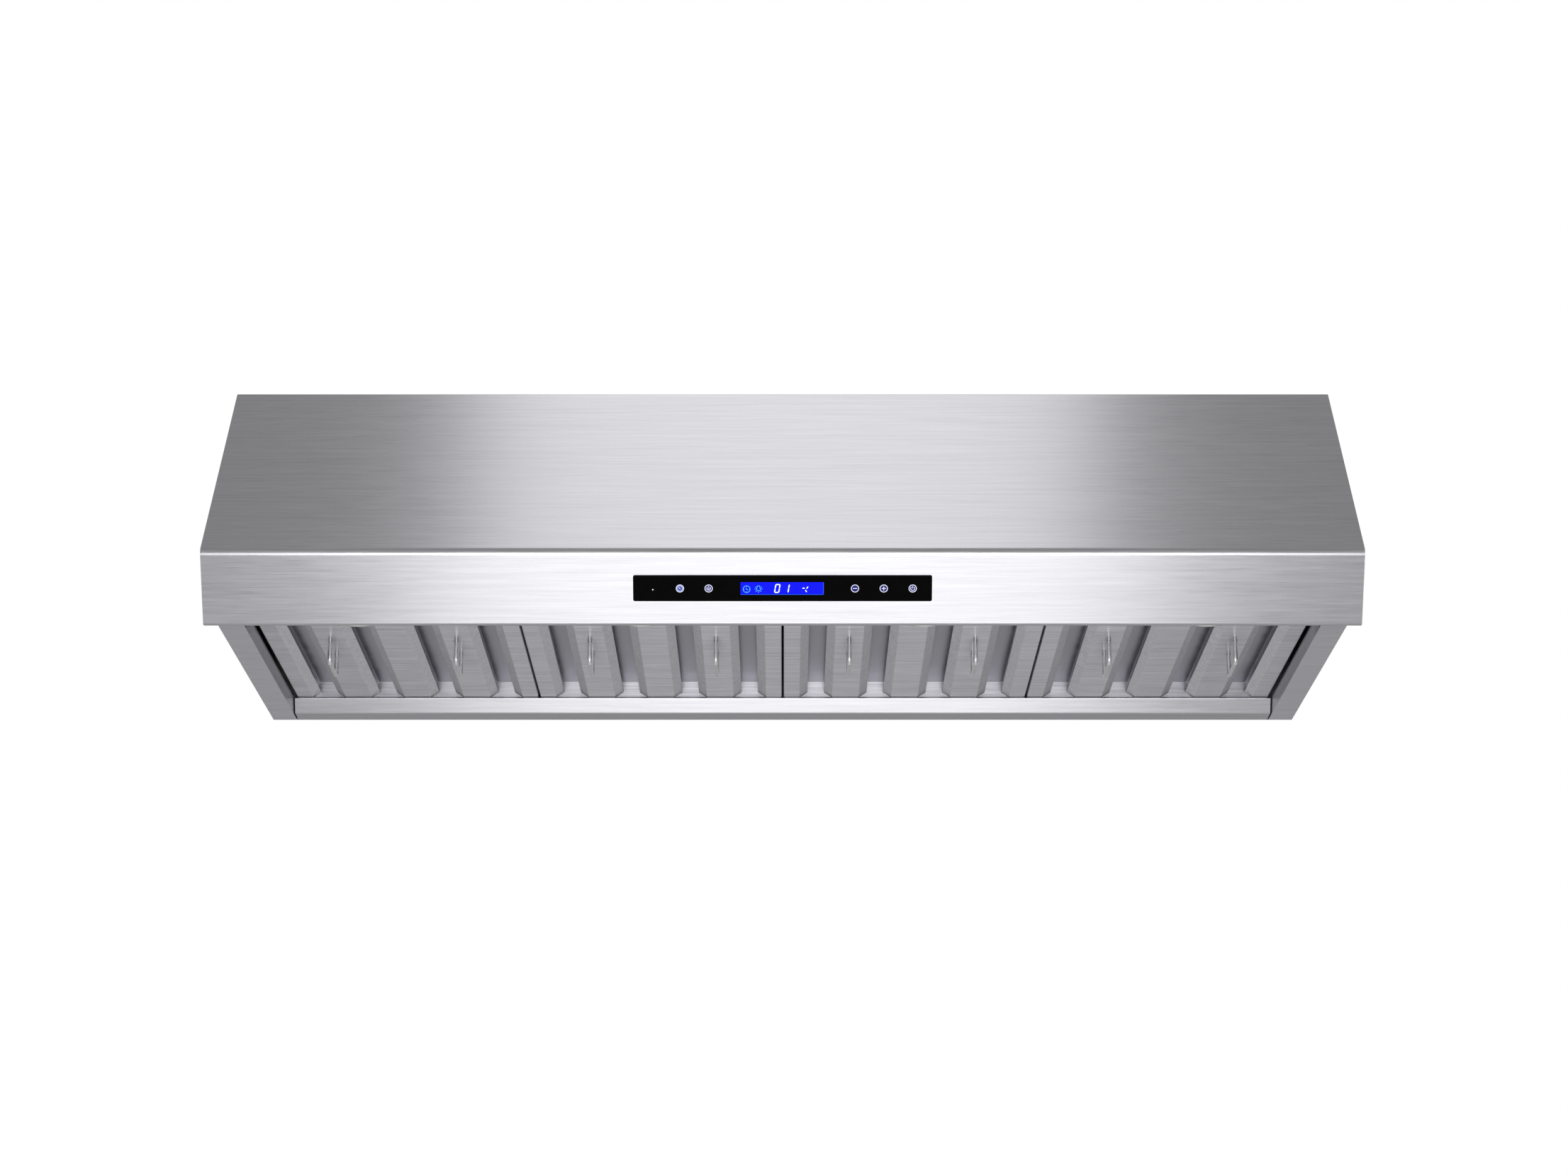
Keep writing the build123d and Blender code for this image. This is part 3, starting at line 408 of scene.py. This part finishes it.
for angle in (-180, -135, -90, -45, 0, 35, 145):
    turn = radians(angle)
    marks.stroke(
        (LAMP_MARK[0] + 3.1 * cos(turn), LAMP_MARK[1] + 3.1 * sin(turn)),
        (LAMP_MARK[0] + 3.9 * cos(turn), LAMP_MARK[1] + 3.9 * sin(turn)),
        MARK_LINE,
    )
marks.finish_piece()

DIGIT_WIDE, DIGIT_HIGH, DIGIT_SLANT, DIGIT_LINE = 4.4, 8.6, tan(radians(9)), 1.15
# Bars of a seven segment digit as ends in half widths and half heights.
SEGMENTS = {
    "top": ((-1, 1), (1, 1)),
    "upper_right": ((1, 1), (1, 0)),
    "lower_right": ((1, 0), (1, -1)),
    "bottom": ((1, -1), (-1, -1)),
    "lower_left": ((-1, -1), (-1, 0)),
    "upper_left": ((-1, 0), (-1, 1)),
}
DIGITS = ((-5.5, tuple(SEGMENTS)), (4.2, ("upper_right", "lower_right")))
FAN_MARK = (24.1, -0.5)
digits = PanelPrint("display_digits", lit("display_white", (0.85, 0.97, 1.0), 1.3), 1)
for middle, segments in DIGITS:
    for segment in segments:
        ends = [
            Vector((x * DIGIT_WIDE / 2 + y * DIGIT_HIGH / 2 * DIGIT_SLANT + middle, y * DIGIT_HIGH / 2))
            for x, y in SEGMENTS[segment]
        ]
        inset = (ends[1] - ends[0]).normalized() * DIGIT_LINE * 0.62
        digits.stroke(ends[0] + inset, ends[1] - inset, DIGIT_LINE)
for blade in range(3):
    turn = radians(30 + 120 * blade)
    digits.stroke(
        (FAN_MARK[0] + 1.5 * cos(turn), FAN_MARK[1] + 1.5 * sin(turn)),
        (FAN_MARK[0] + 3.1 * cos(turn + 0.25), FAN_MARK[1] + 3.1 * sin(turn + 0.25)),
        1.0,
    )
digits.finish_piece()

# ---------------------------------------------------------------- light, floor and camera


def panel_light(name, place, look_at, size, radiance):
    """A soft rectangular studio light aimed at a point, given by how bright its face looks."""
    data = bpy.data.lights.new(name, "AREA")
    data.shape = "RECTANGLE"
    data.size, data.size_y = size
    data.energy = radiance * pi * size[0] * size[1]
    light = bpy.data.objects.new(name, data)
    light.visible_camera = False
    bpy.context.scene.collection.objects.link(light)
    light.location = place
    light.rotation_euler = (Vector(look_at) - Vector(place)).to_track_quat("-Z", "Y").to_euler()


panel_light("ceiling_softbox", (0, 0.15, 2.5), (0, -0.35, -0.1), (1.1, 2.2), 1.02)
panel_light("front_softbox", (0, -1.5, -1.45), (0, -0.42, -0.27), (1.1, 0.8), 1.38)
panel_light("camera_softbox", (0, -4.7, -1.45), (0, 0.1, -0.26), (1.9, 1.6), 3.4)
panel_light("floor_softbox", (0, 0.5, -2.0), (0, 0, -0.27), (2.6, 2.4), 0.15)
for hand in (-1, 1):
    panel_light(f"rear_softbox_{hand}", (2.8 * hand, 2.6, 1.3), (0, 0, -0.15), (1.8, 1.6), 1.6)
panel_light("low_front_strip", (0, -1.2, -0.54), (0, -0.1, -0.27), (1.6, 0.15), 2.6)
panel_light("under_glow", (0, -0.235, -0.2765), (0, 0, -0.2765), (1.1, 0.017), 0.9)

FLOOR_Z, FLOOR_SIZE, FLOOR_CUTS = -3.6, 60, 8
bpy.ops.mesh.primitive_grid_add(
    x_subdivisions=FLOOR_CUTS, y_subdivisions=FLOOR_CUTS, size=FLOOR_SIZE, location=(0, 0, FLOOR_Z)
)
floor = bpy.context.object
floor.name = "studio_floor"
FLOOR_PAINT = speckled(
    "floor_paint", (0.80, 0.80, 0.80), (0.84, 0.84, 0.84), 0.8, 0.0, 0.05,
    Emission_Color=(1, 1, 1, 1), Emission_Strength=0.06,
)
floor.data.materials.append(FLOOR_PAINT)

# A white backdrop to the eye, a dimmer grey room to the steel.
ROOM_LIGHT = 0.32
world = bpy.data.worlds.new("studio")
bpy.context.scene.world = world
world.use_nodes = True
background = world.node_tree.nodes["Background"]
background.inputs["Color"].default_value = (1, 1, 1, 1)
seen = world.node_tree.nodes.new("ShaderNodeLightPath")
strength = world.node_tree.nodes.new("ShaderNodeMapRange")
strength.inputs["To Min"].default_value = ROOM_LIGHT
strength.inputs["To Max"].default_value = 1.0
world.node_tree.links.new(seen.outputs["Is Camera Ray"], strength.inputs["Value"])
world.node_tree.links.new(strength.outputs["Result"], background.inputs["Strength"])

LENS_LENGTH, SENSOR, CAMERA_TILT = 89.5, 36, 14.364
CAMERA_PLACE = (0.0015, -4.3434, -1.2847)
camera_data = bpy.data.cameras.new("camera")
camera_data.lens = LENS_LENGTH
camera_data.sensor_width = SENSOR
camera_data.clip_start, camera_data.clip_end = 0.1, 60
camera = bpy.data.objects.new("camera", camera_data)
bpy.context.scene.collection.objects.link(camera)
camera.location = CAMERA_PLACE
camera.rotation_euler = (radians(90 + CAMERA_TILT), 0, 0)
bpy.context.scene.camera = camera
bpy.context.scene.view_settings.view_transform = "Standard"
